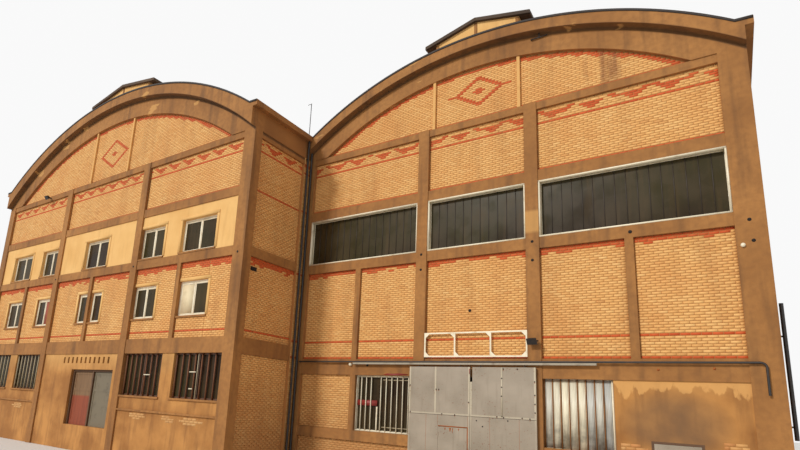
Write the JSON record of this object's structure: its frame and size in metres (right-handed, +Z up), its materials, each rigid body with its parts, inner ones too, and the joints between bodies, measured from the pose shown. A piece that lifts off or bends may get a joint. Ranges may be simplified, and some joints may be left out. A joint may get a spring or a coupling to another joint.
{
  "type": "factory building with twin barrel-roofed halls",
  "caption": "Factory building with barrel-roofed halls, concrete frame, pale brick filling, ribbon windows and sliding steel doors",
  "frame": {"origin": "on the ground, under the centre line of the wall the two halls share, in the front plane of the right hall", "axes": "+Z up, +Y into the building from its front, +X to the right as seen from the front, along the gables"},
  "size_m": [34.58, 23.97, 17.36],
  "materials": {
    "concrete": "cast concrete with an ochre limewash, weathered",
    "brick": "pale cream brick with red brick lines",
    "plaster": "cream lime plaster, stained",
    "roofing": "dark painted sheet roofing",
    "white_paint": "cream white paint on steel",
    "window_glass": "dark glass",
    "grey_steel": "taupe grey paint on steel sheet, rust spots",
    "dark_steel": "dark painted steel",
    "red_paint": "red brown paint on boards",
    "timber": "dark painted timber"
  },
  "bodies": {
    "building": {"right_columns": "concrete", "right_beams": "concrete", "right_brick": "brick", "right_plaster": "plaster", "right_arches": "concrete", "right_roof": "roofing", "right_roof_edges": "concrete", "left_columns": "concrete", "left_beams": "concrete", "left_brick_piers": "brick", "left_brick_spandrels": "brick", "left_plaster_piers": "plaster", "left_plaster_spandrels": "plaster", "left_plinth": "plaster", "door_heads": "plaster", "vent_row": "plaster", "shared_wall": "brick", "left_arches": "concrete", "left_roof": "roofing", "left_roof_edges": "concrete", "lunettes": "brick", "lunette_ribs": "concrete", "monitor_walls": "plaster", "monitor_roofs": "roofing", "window_sills": "concrete", "window_frames": "white_paint", "window_glass": "window_glass", "ground_floors": "concrete", "left_upper_floors": "concrete", "door_track": "dark_steel", "small_door_frame": "timber", "gable_door_frame": "timber", "front_pipe": "dark_steel", "corner_downpipe": "dark_steel", "sign_frame": "white_paint", "floodlights": "dark_steel", "antenna": "dark_steel", "cooling_unit": "white_paint"},
    "left_leaf": {"left_leaf": "grey_steel", "left_leaf_hangers": "dark_steel"},
    "right_leaf": {"right_leaf": "grey_steel", "right_leaf_hangers": "dark_steel", "leaf_grip": "dark_steel"},
    "wicket": {"wicket_door": "grey_steel", "wicket_grip": "dark_steel"},
    "small_door": {"small_door": "grey_steel"},
    "gable_left_leaf": {"gable_left_leaf": "red_paint"},
    "gable_right_leaf": {"gable_right_leaf": "grey_steel"}
  },
  "joints": [
    {"name": "left_leaf_slide", "type": "slide", "parent": "building", "child": "left_leaf", "axis": [-1, 0, 0], "range_m": [0, 1.75]},
    {"name": "right_leaf_slide", "type": "slide", "parent": "building", "child": "right_leaf", "axis": [1, 0, 0], "range_m": [0, 1.75]},
    {"name": "wicket_hinge", "type": "hinge", "parent": "left_leaf", "child": "wicket", "pos_m": [6.257, -0.12, 1.14], "axis": [0, 0, -1], "range_deg": [0, 100]},
    {"name": "small_door_hinge", "type": "hinge", "parent": "building", "child": "small_door", "pos_m": [13.1525, 0.05, 1.05], "axis": [0, 0, 1], "range_deg": [0, 100]},
    {"name": "gable_left_hinge", "type": "hinge", "parent": "building", "child": "gable_left_leaf", "pos_m": [-9.9475, -3.03, 2.15], "axis": [0, 0, 1], "range_deg": [0, 95]},
    {"name": "gable_right_hinge", "type": "hinge", "parent": "building", "child": "gable_right_leaf", "pos_m": [-6.9325, -3.03, 2.15], "axis": [0, 0, -1], "range_deg": [0, 95]}
  ]
}
